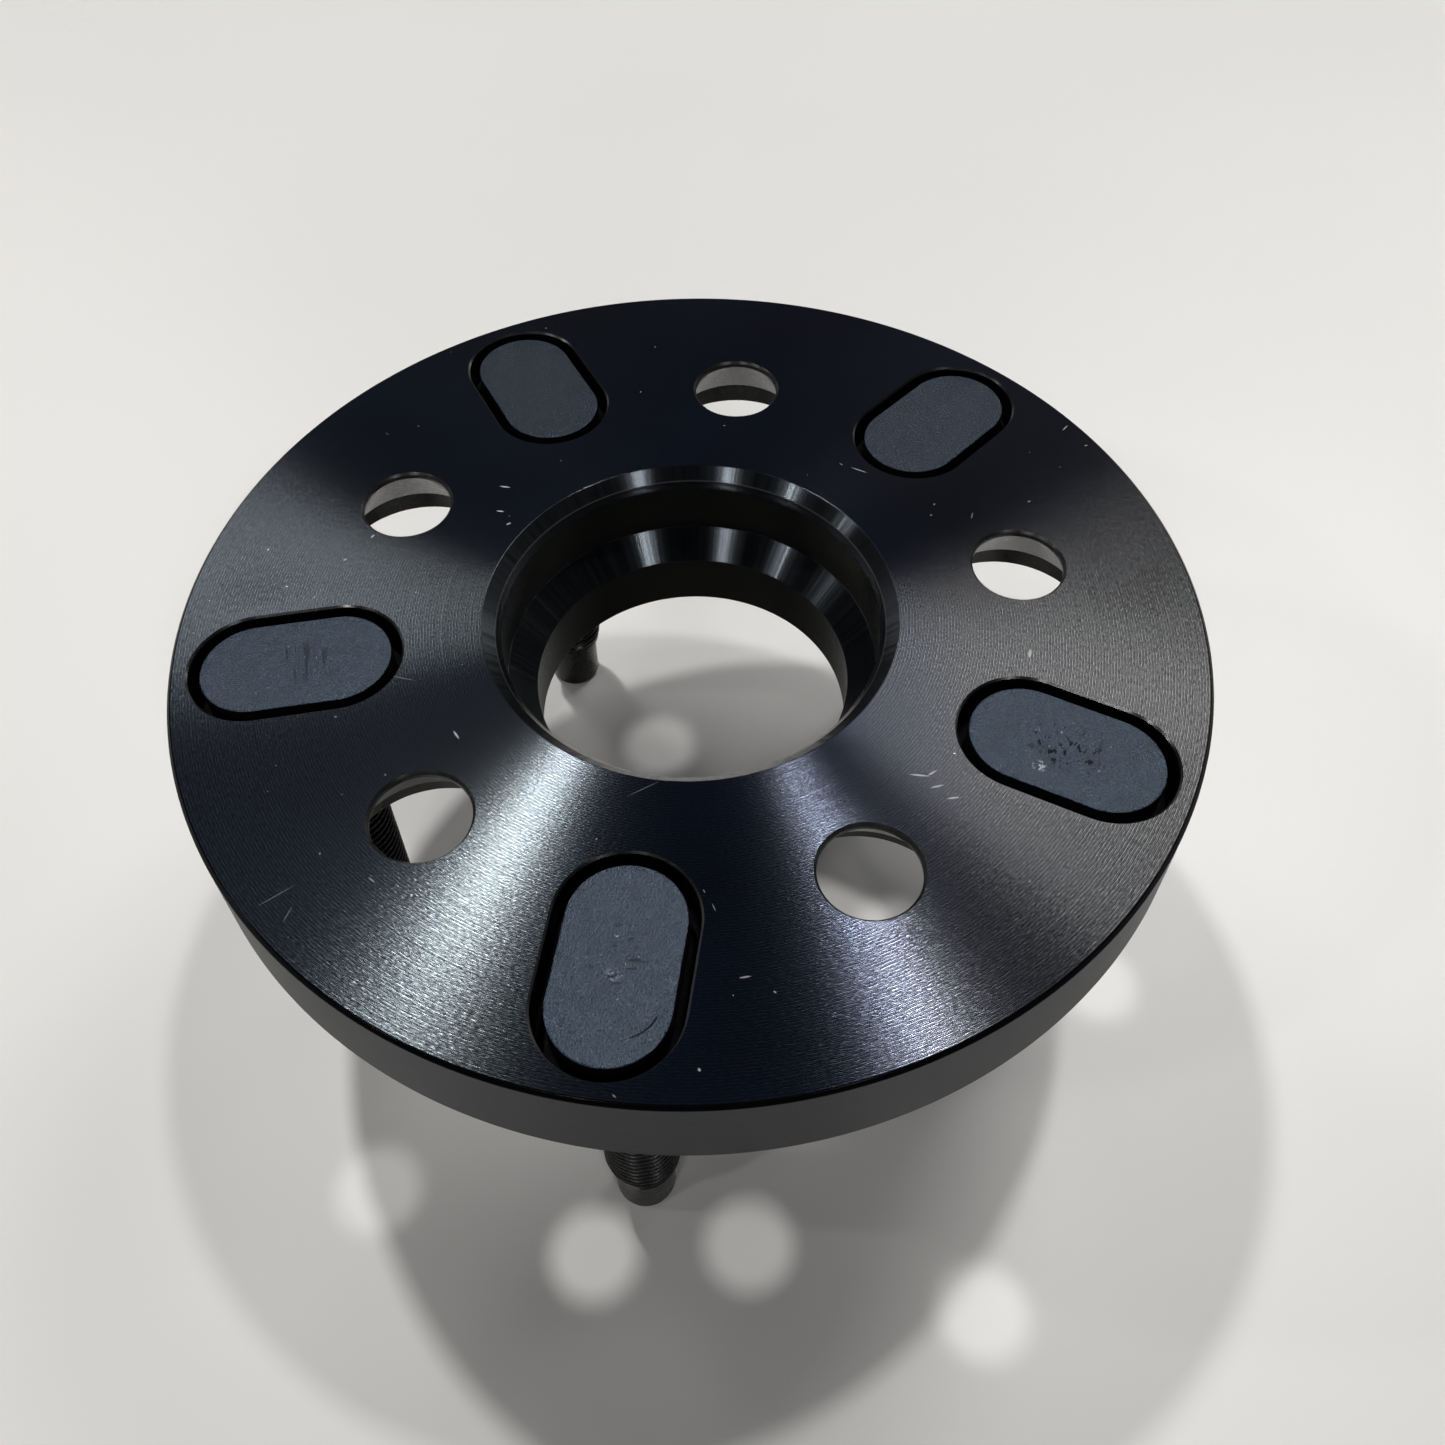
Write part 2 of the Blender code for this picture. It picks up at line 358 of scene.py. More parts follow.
def body_zone(face):
    """Which material slot a face of the body takes, from where it lies."""
    centre = face.calc_center_median() / MM
    radius = math.hypot(centre.x, centre.y)
    depth = FACE_Z - centre.z
    inside = FACE_BAND < depth < THICKNESS - FACE_BAND
    for degrees in HOLE_ANGLES:
        turn = math.radians(degrees)
        x, y = HUB_CIRCLE_R * math.cos(turn), HUB_CIRCLE_R * math.sin(turn)
        if inside and math.hypot(centre.x - x, centre.y - y) < HOLE_ZONE_R:
            return HOLE
    if inside and POCKETS_FROM_R < radius < POCKETS_TO_R:
        if depth < POCKET_EDGE_DEPTH:
            return POCKET_EDGE
        return POCKET_WALL if depth < POCKET_DEPTH - POCKET_FLOOR_BAND else POCKET_FLOOR
    if depth < FACE_BAND:
        return HUB_FACE
    if abs(depth - THICKNESS) < FACE_BAND and radius > SPIGOT_R:
        return WHEEL_FACE
    if radius > SIDE_FROM_R:
        return SIDE
    if radius < BORE_TO_R and abs(face.normal.z) < UPRIGHT_Z:
        return BORE_WALL
    return POCKET_WALL if radius > TURNED_TO_R else TURNED


# The studs


def head_mesh():
    """The forged head from its crown down to its underside: a slightly domed top and soft edges."""
    length, width = HEAD
    growth_and_height = [
        (-6.0, -HEAD_TOP), (-2.5, -HEAD_TOP), (-0.22, -HEAD_TOP),
        (-0.12, -HEAD_TOP - 0.015), (-0.04, -HEAD_TOP - 0.07), (0.0, -HEAD_TOP - 0.18),
        (0.0, 0.3 - HEAD_UNDER), (-0.3, -HEAD_UNDER),
    ]
    rings = []
    for grow, z in growth_and_height:
        rings.append(slot_ring(length + 2 * grow, width + 2 * grow, z, HEAD_END_STEPS))
    return mesh_of("head", *stack(rings, closed=False))


def knurl_mesh():
    """The straight knurl: a ring of pointed teeth with a chamfer at its lower end."""
    rings = []
    for z, chamfer in ((OVERLAP - HEAD_UNDER, 0.0), (0.5 - KNURL_END, 0.0), (-KNURL_END, 0.5)):
        ring = []
        for i in range(2 * KNURL_TEETH):
            radius = KNURL_R - chamfer - (KNURL_TOOTH if i % 2 else 0)
            turn = math.pi * i / KNURL_TEETH
            ring.append((radius * math.cos(turn), radius * math.sin(turn), z))
        rings.append(ring)
    return mesh_of("knurl", *stack(rings, closed=False))


def thread_radius(radius, share, turns):
    """A radius of the thread's form, drawn in to the neck's at both ends. Share runs from 0 to 1."""
    to_end = (1 - share) * turns / RUN_OUT_TURNS
    radius = NECK_R + (radius - NECK_R) * min(1, share * turns, to_end)
    if share > 0.5:
        radius = min(radius, THREAD_R - THREAD_END_CHAMFER * max(0, 1 - to_end))
    return radius


def thread_mesh():
    """A right-hand thread as one closed spiral surface, with a plain neck above and the pilot below."""
    # One turn of the thread's form: how far down, and the radius there
    form = [
        (0.0, THREAD_R - 0.04), (0.10, THREAD_R), (0.22, THREAD_R), (0.32, THREAD_R - 0.06),
        (0.62, THREAD_ROOT_R + 0.10), (0.74, THREAD_ROOT_R), (0.88, THREAD_ROOT_R),
        (1.0, THREAD_ROOT_R + 0.10), (1.36, THREAD_R - 0.22),
    ]
    shift = len(form)
    turns = int((THREAD_END - THREAD_END_CHAMFER - THREAD_TOP) / THREAD_PITCH)
    last = turns * shift
    angles = [-2 * math.pi * j / THREAD_STEPS for j in range(THREAD_STEPS)]
    end_column = THREAD_STEPS - 1
    verts, faces = [], []

    def at(j, k):
        return j * (last + 1) + k

    def add_ring(radius, z):
        """Adds a ring of points and tells the number of its first one."""
        first = len(verts)
        verts.extend((radius * math.cos(angle), radius * math.sin(angle), z) for angle in angles)
        return first

    for j, angle in enumerate(angles):
        for k in range(last + 1):
            turn, index = divmod(k, shift)
            down, radius = form[index]
            radius = thread_radius(radius, k / last, turns)
            z = -THREAD_TOP - THREAD_PITCH * (turn + j / THREAD_STEPS) - down
            verts.append((radius * math.cos(angle), radius * math.sin(angle), z))
    for j in range(end_column):
        for k in range(last):
            faces.append((at(j, k), at(j, k + 1), at(j + 1, k + 1), at(j + 1, k)))
    # Past the last column the spiral goes on in the first, one turn further down
    for k in range(last - shift):
        faces.append((at(end_column, k), at(end_column, k + 1), at(0, k + 1 + shift), at(0, k + shift)))

    neck = add_ring(NECK_R, OVERLAP - KNURL_END)
    for j in range(end_column):
        faces.append((neck + j, at(j, 0), at(j + 1, 0), neck + j + 1))
    step_up = [at(0, k) for k in range(shift, -1, -1)]
    faces.append((neck + end_column, at(end_column, 0), *step_up, neck))

    below = [
        (THREAD_R - THREAD_END_CHAMFER, 0.02 - THREAD_END), (PILOT_R + 0.1, -THREAD_END),
        (PILOT_R, -THREAD_END - 0.15), (PILOT_R, 0.6 - FACE_Z),
        (PILOT_R - 0.18, 0.18 - FACE_Z), (PILOT_R - 0.6, -FACE_Z),
    ]
    firsts = [add_ring(radius, z) for radius, z in below]
    for j in range(end_column):
        faces.append((at(j, last), firsts[0] + j, firsts[0] + j + 1, at(j + 1, last)))
    step_down = [at(end_column, last - k) for k in range(shift, -1, -1)]
    faces.append((*step_down, firsts[0] + end_column, firsts[0], at(0, last)))
    for upper, lower in zip(firsts, firsts[1:]):
        for j in range(THREAD_STEPS):
            k = (j + 1) % THREAD_STEPS
            faces.append((upper + j, lower + j, lower + k, upper + k))
    for cap in (firsts[-1], neck):
        faces.append(tuple(cap + j for j in range(THREAD_STEPS)))
    return mesh_of("thread", verts, faces)


HEAD_CROWN, SHANK, HEAD_SIDE = range(3)
CROWN_BAND = 0.12
UNDERSIDE_BAND = 0.01


def stud_zone(polygon):
    """Which material slot a face of a stud takes, while the stud stands on its own axis."""
    depth = -polygon.center.z / MM
    if depth < HEAD_TOP + CROWN_BAND:
        return HEAD_CROWN
    return HEAD_SIDE if depth < HEAD_UNDER + UNDERSIDE_BAND else SHANK


# Materials


class Nodes:
    """A node tree, with short calls that add and link nodes."""

    def __init__(self, owner):
        owner.use_nodes = True
        self.tree = owner.node_tree

    def add(self, kind, inputs=(), **settings):
        node = self.tree.nodes.new(kind)
        for key, value in settings.items():
            setattr(node, key, value)
        for key, value in dict(inputs).items():
            self.put(node.inputs[key], value)
        return node

    def put(self, socket, value):
        if isinstance(value, bpy.types.NodeSocket):
            self.tree.links.new(value, socket)
        else:
            socket.default_value = value

    def math(self, operation, *values):
        node = self.add("ShaderNodeMath", operation=operation)
        for socket, value in zip(node.inputs, values):
            self.put(socket, value)
        return node.outputs[0]

    def times(self, value, factor):
        return self.math("MULTIPLY", value, factor)

    def vector(self, operation, *values):
        node = self.add("ShaderNodeVectorMath", operation=operation)
        if operation == "SCALE":
            self.put(node.inputs[0], values[0])
            self.put(node.inputs["Scale"], values[1])
            return node.outputs[0]
        for socket, value in zip(node.inputs, values):
            self.put(socket, value)
        return node.outputs["Value"] if operation in ("LENGTH", "DOT_PRODUCT") else node.outputs[0]

    def split(self, vector):
        return self.add("ShaderNodeSeparateXYZ", {0: vector}).outputs

    def join(self, x, y):
        return self.add("ShaderNodeCombineXYZ", {0: x, 1: y}).outputs[0]

    def noise(self, vector, scale=1.0, detail=2.0, roughness=0.5):
        inputs = {"Vector": vector, "Scale": scale, "Detail": detail, "Roughness": roughness}
        return self.add("ShaderNodeTexNoise", inputs).outputs[0]

    def noise_1d(self, value, scale, detail=1.0):
        node = self.add("ShaderNodeTexNoise", noise_dimensions="1D")
        self.put(node.inputs["W"], value)
        self.put(node.inputs["Scale"], scale)
        self.put(node.inputs["Detail"], detail)
        return node.outputs[0]

    def spread(self, value, low, high, to_low, to_high):
        """Maps a value from one range to another, and holds it at their ends."""
        inputs = {"Value": value, "From Min": low, "From Max": high, "To Min": to_low, "To Max": to_high}
        return self.add("ShaderNodeMapRange", inputs).outputs[0]

    def mix(self, factor, a, b):
        node = self.add("ShaderNodeMix", data_type="RGBA")
        self.put(node.inputs["Factor"], factor)
        colours = [s for s in node.inputs if s.type == "RGBA"]
        self.put(colours[0], a)
        self.put(colours[1], b)
        return [s for s in node.outputs if s.type == "RGBA"][0]

    def ramp(self, value, stops):
        node = self.add("ShaderNodeValToRGB", {"Fac": value})
        elements = node.color_ramp.elements
        elements[0].position, elements[1].position = stops[0][0], stops[-1][0]
        for position, _ in stops[1:-1]:
            elements.new(position)
        for element, (_, colour) in zip(elements, stops):
            element.color = (*colour, 1)
        return node.outputs[0]

    def seen(self, reflected=1.0):
        """1 for rays from the camera, and the value given for rays that metal or glass passes on."""
        rays = self.add("ShaderNodeLightPath").outputs
        passed_on = self.math("MAXIMUM", rays["Is Glossy Ray"], rays["Is Transmission Ray"])
        return self.math("MAXIMUM", rays["Is Camera Ray"], self.times(passed_on, reflected))

    def mix_into(self, output, factor, first, second):
        """Gives the tree's output a mix of two shaders: factor 0 is the first, 1 the second."""
        mixer = self.add("ShaderNodeMixShader", {0: factor, 1: first.outputs[0], 2: second.outputs[0]})
        self.put(self.tree.nodes[output].inputs["Surface"], mixer.outputs[0])


class Surface(Nodes):
    """A material's node tree, with its shader and the patterns that the surfaces share."""

    def __init__(self, name):
        self.material = bpy.data.materials.new(name)
        super().__init__(self.material)
        self.shader = self.tree.nodes["Principled BSDF"]

    def set(self, **values):
        """Sets the shader's inputs, whose names are written with _ for a space."""
        for key, value in values.items():
            self.put(self.shader.inputs[key.replace("_", " ")], value)

    def millimetres(self):
        position = self.add("ShaderNodeTexCoord").outputs["Object"]
        return self.vector("MULTIPLY", position, (1000, 1000, 1000))

    def distance_from(self, position, x, y):
        """How far a position lies from a point, seen along Z."""
        offset = self.vector("SUBTRACT", position, (x, y, 0))
        return self.vector("LENGTH", self.vector("MULTIPLY", offset, (1, 1, 0)))

    def specks(self, position, spacing, size, rarity):
        """Sparse small flecks: 1 on a fleck, 0 elsewhere. Rarity is the share of cells left empty."""
        wander = self.add("ShaderNodeTexNoise", {"Vector": position, "Scale": 2.0}).outputs["Color"]
        moved = self.vector("ADD", position, self.vector("SCALE", wander, 0.9))
        spot = self.vector("SCALE", moved, 1 / spacing)
        cells = self.add("ShaderNodeTexVoronoi", {"Vector": spot, "Scale": 1.0}, voronoi_dimensions="2D")
        kept = self.math("GREATER_THAN", self.split(cells.outputs["Color"])[0], rarity)
        return self.times(self.spread(cells.outputs["Distance"], size, size * 1.5, 1, 0), kept)

    def stroke(self, position, x0, y0, x1, y1, width=0.17, strength=1.0):
        """A leaf-shaped scuff between two points of the hub face: its strength on it, 0 elsewhere."""
        run = Vector((x1 - x0, y1 - y0, 0))
        offset = self.vector("SUBTRACT", position, (x0, y0, 0))
        share = self.vector("DOT_PRODUCT", offset, tuple(run / run.length_squared))
        sideways = (-run.y / run.length, run.x / run.length, 0)
        away = self.math("ABSOLUTE", self.vector("DOT_PRODUCT", offset, sideways))
        bow = self.times(self.times(share, self.math("SUBTRACT", 1, share)), 4 * width)
        return self.spread(self.math("SUBTRACT", bow, away), 0, 0.5 * width, 0, strength)


COOL_TINT = (0.76, 0.87, 1.0)

# The colour of the hub face's reflections, from its left to its right in the photograph
HUB_FACE_TINTS = (
    (0.03, (0.64, 0.79, 1.0)),
    (0.32, (0.80, 0.93, 1.0)),
    (0.62, (0.62, 0.72, 1.0)),
    (0.76, (0.94, 0.95, 1.0)),
    (1.0, (1.0, 1.0, 0.98)),
)

# Scuffs of the hub face, in millimetres: x, y to x, y, and where they differ, width and strength
SCUFFS = (
    (-34.2, 21.3, -32.2, 21.2), (-33.3, 15.8, -31.9, 15.8), (-31.0, 13.0, -30.3, 13.6),
    (-28.8, -26.4, -27.5, -27.8), (49.4, -0.9, 49.2, -2.9, 0.32), (33.3, -25.1, 36.3, -25.0),
    (35.8, -25.0, 37.1, -23.9), (36.2, -26.9, 38.2, -26.1), (38.4, -28.3, 40.2, -27.8),
    (14.8, -57.4, 16.4, -56.9, 0.15, 0.6), (-51.0, 7.4, -50.6, 8.3), (-53.7, 2.2, -53.3, 2.8),
    (20.7, 33.2, 23.7, 32.2, 0.09), (-40.3, -18.4, -36.1, -18.7, 0.07, 0.35),
    (-46.2, -56.5, -41.9, -52.3, 0.07, 0.3), (-42.0, -58.1, -41.5, -55.4, 0.07, 0.3),
    (-33.5, -50.2, -32.2, -50.9, 0.12, 0.5), (-3.5, -34.0, 1.0, -30.5, 0.07, 0.25),
    (10.2, -47.8, 10.9, -49.0, 0.09, 0.35), (8.8, -46.0, 9.2, -46.6, 0.09, 0.35),
    (2.5, -73.5, 3.1, -73.9, 0.12, 0.35), (11.7, -69.1, 12.1, -69.5, 0.2, 0.7),
    (54.5, 46.5, 55.5, 48.1, 0.10, 0.8), (40.3, 24.0, 40.5, 25.6, 0.08, 0.5),
    (58.0, 43.3, 58.6, 43.6, 0.12, 0.6),
)
SCUFF_COLOUR = (0.36, 0.36, 0.36, 1)
SCUFF_ROUGHNESS = 0.6
# The colour of a painted highlight: a thin light line standing for the glint of a fine ridge
GLINT_LINE_COLOUR = (0.035, 0.032, 0.027, 1)

# Millimetres from one visible turning line to the next
LINE_PITCH = 0.42


def turned_metal(name, colour, specular, roughness, anisotropy, pitch, slope, speckle, glitter,
                 tints=None, lean=0.0, chatter=0.0, scuffs=(), glint_line_radius=None):
    """Black anodised metal with turning marks: rings about the disc's axis tilt the surface a little.

    Pitch is the tool's feed in millimetres and slope how steep its grooves are. Speckle is how far fine
    grain tilts the surface, chatter how far marks across the rings do, and lean tilts it all outward.
    Glitter is how much the reflections change from spot to spot. A thin light line at glint_line_radius
    is painted highlight, standing for the glint of a fine ridge there.
    """
    n = Surface(name)
    position = n.millimetres()
    x, y, z = n.split(position)
    flat = n.join(x, y)
    radius = n.vector("LENGTH", flat)
    around = n.vector("CROSS_PRODUCT", (0, 0, 1), n.vector("NORMALIZE", flat))
    normal = n.add("ShaderNodeNewGeometry").outputs["Normal"]
    across = n.vector("CROSS_PRODUCT", around, normal)

    # Millimetres along the disc's section and round the disc, and the grooves' wave with a wandering phase
    along = n.math("SUBTRACT", radius, z)
    swing = n.times(n.math("ARCTAN2", y, x), HUB_CIRCLE_R)
    wander = n.join(n.times(along, 0.9), n.times(swing, 0.6))
    phase = n.times(n.noise(wander, detail=2, roughness=0.6), 9)
    wave = n.math("SINE", n.math("ADD", n.times(along, 2 * math.pi / pitch), phase))

    # How far the surface tilts outward, and how far round the disc
    broad = n.spread(n.noise_1d(along, 1.4), 0, 1, -0.6 * slope, 0.6 * slope)
    fine = n.spread(n.noise_1d(along, 5.0), 0, 1, -1.5 * slope, 1.5 * slope)
    rings = n.join(n.times(along, 7.0), n.times(swing, 2.0))
    grain = n.spread(n.noise(rings, detail=1), 0.25, 0.75, -speckle, speckle)
    groove = n.times(wave, slope)
    tilt = n.math("ADD", n.math("ADD", groove, broad), n.math("ADD", n.math("ADD", fine, grain), lean))
    other_rings = n.vector("ADD", rings, (50, 20, 10))
    cross_grain = n.noise(other_rings, detail=2, roughness=0.6)
    cross_tilt = n.spread(cross_grain, 0.25, 0.75, -0.3 * speckle, 0.3 * speckle)
    if chatter:
        marks = n.spread(n.noise_1d(swing, 5.0, detail=2), 0.25, 0.75, -chatter, chatter)
        cross_tilt = n.math("ADD", cross_tilt, marks)
    tilted = n.vector("ADD", normal, n.vector("SCALE", across, tilt))
    tilted = n.vector("NORMALIZE", n.vector("ADD", tilted, n.vector("SCALE", around, cross_tilt)))

    # How bright the reflections are: by groove, by short fleck and by visible line
    sparkle = n.spread(wave, -1, 1, 1 - glitter, 1 + glitter)
    flecks = n.noise(n.vector("ADD", n.vector("SCALE", rings, 0.8), (10, 70, 30)), detail=1)
    sparkle = n.times(sparkle, n.spread(flecks, 0.32, 0.68, 1 - 0.55 * glitter, 1 + 0.55 * glitter))
    lines = n.math("SINE", n.math("ADD", n.times(along, 2 * math.pi / LINE_PITCH), n.times(phase, 0.5)))
    sparkle = n.times(sparkle, n.spread(lines, -1, 1, 1 - 0.45 * glitter, 1 + 0.45 * glitter))
    tint = COOL_TINT
    if tints:
        to_right = (math.cos(TURN) / RIM_R / 2, math.sin(TURN) / RIM_R / 2, 0)
        tint = n.ramp(n.math("ADD", n.vector("DOT_PRODUCT", position, to_right), 0.5), tints)

    base = n.vector("SCALE", colour, n.spread(n.noise(position, scale=0.04), 0.3, 0.7, 0.7, 1.3))
    gloss = roughness
    if scuffs:
        nick = n.times(n.specks(position, spacing=5.0, size=0.016, rarity=0.9), 0.6)
        for scuff in scuffs:
            nick = n.math("MAXIMUM", nick, n.stroke(position, *scuff))
        base = n.mix(nick, base, SCUFF_COLOUR)
        gloss = n.spread(nick, 0, 1, roughness, SCUFF_ROUGHNESS)
    # Painted highlight: a thin light line in the base colour where a fine ridge would catch the light
    if glint_line_radius:
        from_line = n.math("ABSOLUTE", n.math("SUBTRACT", radius, glint_line_radius))
        base = n.mix(n.spread(from_line, 0.04, 0.12, 0.8, 0), base, GLINT_LINE_COLOUR)
    n.set(Base_Color=base, Specular_Tint=n.vector("SCALE", tint, sparkle), Specular_IOR_Level=specular,
          Roughness=gloss, Anisotropic=anisotropy, Tangent=across, Normal=tilted)
    return n.material


def plain_black(name, colour, specular, roughness):
    """A black surface without turning marks, with faint grain in its colour and gloss."""
    n = Surface(name)
    grain = n.noise(n.millimetres(), scale=1.2, detail=4)
    bump = n.add("ShaderNodeBump", {"Height": grain, "Distance": 0.00002, "Strength": 0.5})
    darker = [c * 0.7 for c in colour]
    n.set(Base_Color=n.mix(grain, (*colour, 1), (*darker, 1)), Specular_IOR_Level=specular,
          Roughness=n.spread(grain, 0.3, 0.7, roughness * 0.85, roughness * 1.15),
          Normal=bump.outputs[0])
    return n.material


HEAD_TINT = (0.70, 0.86, 1.0)
HEAD_DARK = (0.005, 0.009, 0.020, 1)
HEAD_LIGHT = (0.010, 0.016, 0.033, 1)
NICK_COLOUR = (0.002, 0.003, 0.005, 1)
SPECK_COLOUR = (0.32, 0.34, 0.37, 1)


def forged_steel(name, painted_light, wear, nicked=0.64, pale_patch=None, scratched=False):
    """A forged head: fine leathery grain, shallow dents, and dark nicks and pale specks about its middle.

    A lower nicked gives more nicks. A pale patch is x, y and strength, in the head's own place. A head that
    is scratched has a thin dark arc near one end.
    """
    n = Surface(name)
    position = n.millimetres()
    own = n.add("ShaderNodeAttribute", attribute_name="own_place").outputs["Vector"]
    grain = n.noise(n.vector("MULTIPLY", own, (1.0, 1.7, 1.0)), scale=2.6, detail=2, roughness=0.6)
    dents = n.noise(position, scale=0.3, detail=3)
    middle = n.vector("LENGTH", n.vector("MULTIPLY", own, (1 / 7.0, 1 / 4.5, 0)))

    drawn_out = n.vector("MULTIPLY", own, (1.5, 0.45, 0))
    streaks = n.noise(n.vector("ADD", drawn_out, n.vector("SCALE", position, 0.31)), detail=1)
    nick = n.spread(streaks, nicked, nicked + 0.03, 0, wear)
    nick = n.times(nick, n.spread(middle, 0.55, 1.0, 1, 0))
    if scratched:
        from_arc = n.math("ABSOLUTE", n.math("SUBTRACT", n.distance_from(own, 5.0, 1.5), 4.65))
        x, y, _ = n.split(own)
        kept = n.times(n.spread(x, 5.9, 6.5, 0, 1), n.spread(y, 3.0, 3.6, 0, 1))
        nick = n.math("MAXIMUM", nick, n.times(n.spread(from_arc, 0.06, 0.14, 1, 0), kept))

    speck = n.specks(position, spacing=1.6, size=0.05, rarity=0.75)
    speck = n.times(speck, n.spread(middle, 0.5, 1.1, wear, 0.12))
    if pale_patch:
        x, y, strength = pale_patch
        near = n.spread(n.distance_from(own, x, y), 0.5, 1.1, strength, 0)
        crowded = n.specks(position, spacing=0.42, size=0.36, rarity=0.15)
        speck = n.math("MAXIMUM", speck, n.times(crowded, near))

    height = n.math("SUBTRACT", dents, n.times(nick, 0.35))
    dented = n.add("ShaderNodeBump", {"Height": height, "Distance": 0.0003, "Strength": 0.45}).outputs[0]
    bump = n.add("ShaderNodeBump", {"Height": grain, "Distance": 0.00022, "Strength": 1.0, "Normal": dented})
    shade = n.mix(n.spread(dents, 0.3, 0.7, 0, 1), HEAD_DARK, HEAD_LIGHT)
    # Painted shade where painted_light is below 1: the head's colour and reflections are scaled down with it
    shade = n.vector("SCALE", shade, n.spread(grain, 0.35, 0.65, 0.35 * painted_light, 1.65 * painted_light))
    shade = n.mix(n.times(nick, 0.9), shade, NICK_COLOUR)
    n.set(Base_Color=n.mix(speck, shade, SPECK_COLOUR), Metallic=0.2,
          Specular_Tint=n.vector("SCALE", HEAD_TINT, n.spread(nick, 0, 1, 1, 0.09)),
          Specular_IOR_Level=0.68 * painted_light, Roughness=n.spread(grain, 0.3, 0.7, 0.30, 0.40),
          Normal=bump.outputs[0])
    return n.material


PALE = (0.80, 0.80, 0.80, 1)

# Seen from low down, the floor passes into the pale background between these distances, in millimetres
FADE_FROM = 450
FADE_TO = 1100


def floor_board(name):
    n = Surface(name)
    position = n.millimetres()
    cloud = n.spread(n.noise(position, scale=0.004, detail=3), 0.3, 0.7, 0, 1)
    n.set(Base_Color=n.mix(cloud, (0.655, 0.645, 0.635, 1), (0.69, 0.68, 0.665, 1)), Roughness=0.42)
    far = n.spread(n.vector("LENGTH", position), FADE_FROM, FADE_TO, 0, 1)
    glow = n.add("ShaderNodeEmission", {"Color": PALE, "Strength": 1.0})
    n.mix_into("Material Output", n.times(far, n.seen()), n.shader, glow)
    return n.material


# Pieces


def body_materials():
    """The body's materials, in the order of its zones."""
    face_colour = (0.0015, 0.0024, 0.0055)
    return (
        turned_metal("hub_face", face_colour, specular=0.28, roughness=0.20, anisotropy=0.889, pitch=0.21,
                     slope=0.04, speckle=0.06, glitter=0.8, tints=HUB_FACE_TINTS, lean=0.08,
                     scuffs=SCUFFS),
        turned_metal("wheel_face", face_colour, specular=0.28, roughness=0.20, anisotropy=0.889, pitch=0.21,
                     slope=0.04, speckle=0.05, glitter=0.9),
        # The turned edges carry a painted highlight: a thin light line at the ridge between the entry
        # chamfer and its lead-in
        turned_metal("turned_edges", (0.001, 0.0012, 0.0016), specular=0.50, roughness=0.20,
                     anisotropy=0.80, pitch=0.21, slope=0.02, speckle=0.012, glitter=0.3, chatter=0.02,
                     glint_line_radius=RECESS_R + LEAD_IN_WIDTH),
        turned_metal("side_wall", (0.0052, 0.0044, 0.0044), specular=0.34, roughness=0.44, anisotropy=0.3,
                     pitch=0.25, slope=0.03, speckle=0.002, glitter=0.05),
        plain_black("hole_wall", (0.008, 0.008, 0.008), specular=0.4, roughness=0.30),
        plain_black("pocket_wall", (0.0015, 0.0017, 0.0022), specular=0.07, roughness=0.16),
        plain_black("pocket_edge", (0.003, 0.003, 0.004), specular=0.6, roughness=0.24),
        plain_black("pocket_floor", (0.0012, 0.0012, 0.0014), specular=0.03, roughness=0.55),
        plain_black("bore_wall", (0.0018, 0.0016, 0.0013), specular=0.07, roughness=0.34),
    )


body = spacer_body()
smooth_but_flat_faces(body.data, BODY_CREASE)
weigh_normals(body)
body.data.materials.clear()
for material in body_materials():
    body.data.materials.append(material)
work = bmesh.new()
work.from_mesh(body.data)
for face in work.faces:
    face.material_index = body_zone(face)
work.to_mesh(body.data)
work.free()
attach(body, "root")
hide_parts("spacer_body")

# How each head looks, from stud 1 to stud 5. Painted_light below 1 paints shade: the two far heads, studs 1
# and 5, are darker and less glossy for the lamp light they lack
HEAD_LOOKS = (
    {"painted_light": 0.52, "wear": 0.15},
    {"painted_light": 1.0, "wear": 0.6, "nicked": 0.585},
    {"painted_light": 1.0, "wear": 0.6, "pale_patch": (1.8, -0.3, 0.35), "scratched": True},
    {"painted_light": 1.0, "wear": 1.0, "nicked": 0.62, "pale_patch": (-2.5, -4.4, 1.0)},
    {"painted_light": 0.60, "wear": 0.15},
)

stud_mesh = combined("stud", head_mesh(), [knurl_mesh(), thread_mesh()], "UNION")
smooth_but_flat_faces(stud_mesh, STUD_CREASE)
thread_material = plain_black("oiled_thread", (0.003, 0.0027, 0.0025), specular=0.25, roughness=0.28)
# Painted shade: the heads' sides, down in the slots where shade falls, take a darker and duller black than
# the crowns
head_side_shade_material = plain_black("head_side_painted_shade", (0.004, 0.0045, 0.006), specular=0.12, roughness=0.4)
for number, (degrees, looks) in enumerate(zip(STUD_ANGLES, HEAD_LOOKS), 1):
    mesh = stud_mesh.copy()
    mesh.materials.append(forged_steel(f"forged_head_{number}", **looks))
    mesh.materials.append(thread_material)
    mesh.materials.append(head_side_shade_material)
    for polygon in mesh.polygons:
        polygon.material_index = stud_zone(polygon)
    own_place = mesh.attributes.new("own_place", "FLOAT_VECTOR", "POINT")
    for vertex in mesh.vertices:
        own_place.data[vertex.index].vector = vertex.co / MM
    stud = new_object(f"threaded_stud_{number}", place(mesh, WHEEL_CIRCLE_R, degrees))
    weigh_normals(stud)
    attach(stud, "root")
    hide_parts(f"stud_{number}")

# Floor, light and camera

FLOOR_HALF = 3.0
FLOOR_Z = -0.0001

floor_mesh = bpy.data.meshes.new("floor")
corners = [(x * FLOOR_HALF, y * FLOOR_HALF, FLOOR_Z) for x, y in ((-1, -1), (1, -1), (1, 1), (-1, 1))]
floor_mesh.from_pydata(corners, [], [(0, 1, 2, 3)])
floor = new_object("floor", floor_mesh)
floor.data.materials.append(floor_board("floor_board"))

LAMP_DISTANCE = 2.2
LAMP_COLOUR = (1.0, 0.99, 0.97)

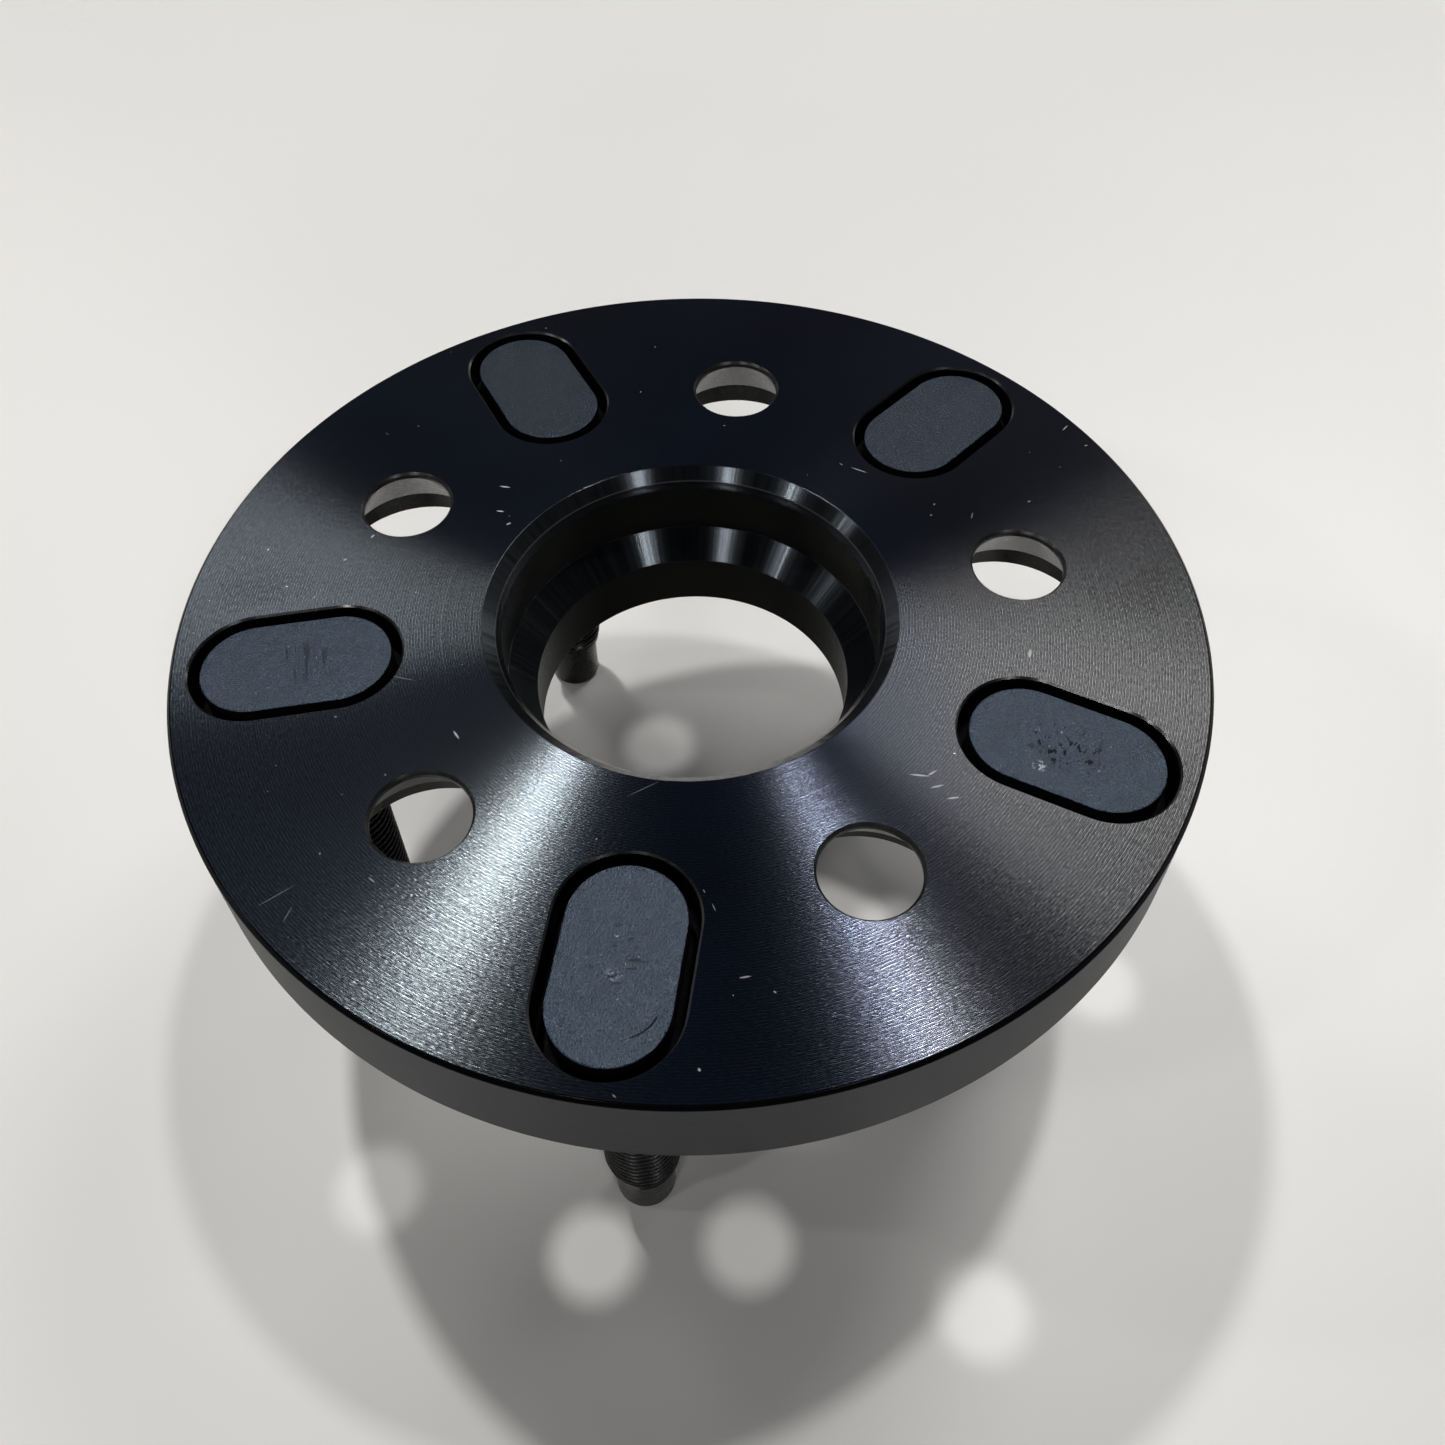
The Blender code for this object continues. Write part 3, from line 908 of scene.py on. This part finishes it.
# Direction from the middle of the hub face in the camera's frame, size in metres, and watts
LAMPS = (
    ("lamp_right", (0.206, 0.256, 0.944), 0.13, 12.5),
    ("lamp_left", (-0.224, 0.378, 0.898), 0.13, 18.5),
    ("lamp_far_right", (0.40, 0.49, 0.775), 0.80, 13.0),
    ("lamp_far_left", (-0.43, 0.65, 0.63), 0.55, 5.5),
    ("lamp_high_left", (-0.38, 0.48, 0.79), 0.9, 1.0),
    ("lamp_low_right", (0.627, 0.719, 0.299), 0.4, 1.5),
    ("lamp_near_right", (0.33, -0.65, 0.68), 0.12, 4.0),
    ("lamp_near_left", (-0.30, -0.67, 0.68), 0.12, 4.0),
    ("lamp_side_left", (-0.66, -0.36, 0.66), 0.12, 3.5),
    ("lamp_side", (-0.80, 0.06, 0.59), 0.12, 3.0),
)


def lamp(name, direction, size, power):
    data = bpy.data.lights.new(name, "AREA")
    data.shape = "DISK"
    data.size = size
    data.energy = power
    data.color = LAMP_COLOUR
    item = new_object(name, data)
    way = Matrix.Rotation(TURN, 3, "Z") @ Vector(direction).normalized()
    item.location = Vector((0, 0, FACE_Z * MM)) + way * LAMP_DISTANCE
    item.rotation_euler = way.to_track_quat("Z", "Y").to_euler()
    return item


for settings in LAMPS:
    lamp(*settings)
# This one shows only in reflections: a wide one on the right of the face, without a shadow of its own
sheen = lamp("sheen_right", (0.40, 0.49, 0.775), 0.80, 16.0)
sheen.data.shape = "SQUARE"
sheen.visible_diffuse = False

# The room low down passes into the room overhead between these heights of a ray's direction
LOW = 0.04
HIGH = 0.22


def studio_world():
    """Pale where it is seen, and for the part a dim room, lighter low down as between pale walls.

    Reflections show the pale background low down; overhead they stay dark, as in the photograph.
    """
    world = bpy.data.worlds.new("studio")
    n = Nodes(world)
    height = n.split(n.add("ShaderNodeTexCoord").outputs["Generated"])[2]
    dim = n.tree.nodes["Background"]
    n.put(dim.inputs["Color"], (0.95, 0.97, 1.0, 1))
    n.put(dim.inputs["Strength"], n.spread(height, LOW, HIGH, 0.35, 0.03))
    pale = n.add("ShaderNodeBackground", {"Color": PALE, "Strength": 1.0})
    n.mix_into("World Output", n.seen(reflected=n.spread(height, LOW, HIGH, 1, 0)), dim, pale)
    return world


bpy.context.scene.world = studio_world()

# The camera as solved from the photograph: pixels, radians, and millimetres from the hub face's middle
FOCAL_PX = 1386.34
IMAGE_PX = 1445
CENTRE_PX = (714.57, 644.85)
DOWN, ROLL, PAN = 0.8790, -0.0136, 0.0259
CAMERA_MM = (0, -134.24, 153.43)
SENSOR_WIDTH = 36


def photo_camera():
    ahead = Vector((math.sin(PAN) * math.cos(DOWN), math.cos(PAN) * math.cos(DOWN), -math.sin(DOWN)))
    level = Vector((math.cos(PAN), -math.sin(PAN), 0))
    above = level.cross(ahead)
    right = math.cos(ROLL) * level + math.sin(ROLL) * above
    top = -math.sin(ROLL) * level + math.cos(ROLL) * above
    data = bpy.data.cameras.new("camera")
    data.sensor_width = SENSOR_WIDTH
    data.lens = SENSOR_WIDTH * FOCAL_PX / IMAGE_PX
    data.shift_x = 0.5 - CENTRE_PX[0] / IMAGE_PX
    data.shift_y = CENTRE_PX[1] / IMAGE_PX - 0.5
    data.clip_start = 0.01
    camera = new_object("camera", data)
    hub_face = Matrix.Translation((0, 0, FACE_Z * MM)) @ Matrix.Rotation(TURN, 4, "Z")
    facing = Matrix((right, top, -ahead)).transposed().to_4x4()
    camera.matrix_world = hub_face @ Matrix.Translation(Vector(CAMERA_MM) * MM) @ facing
    return camera


bpy.context.scene.camera = photo_camera()
bpy.context.scene.view_settings.view_transform = "Standard"
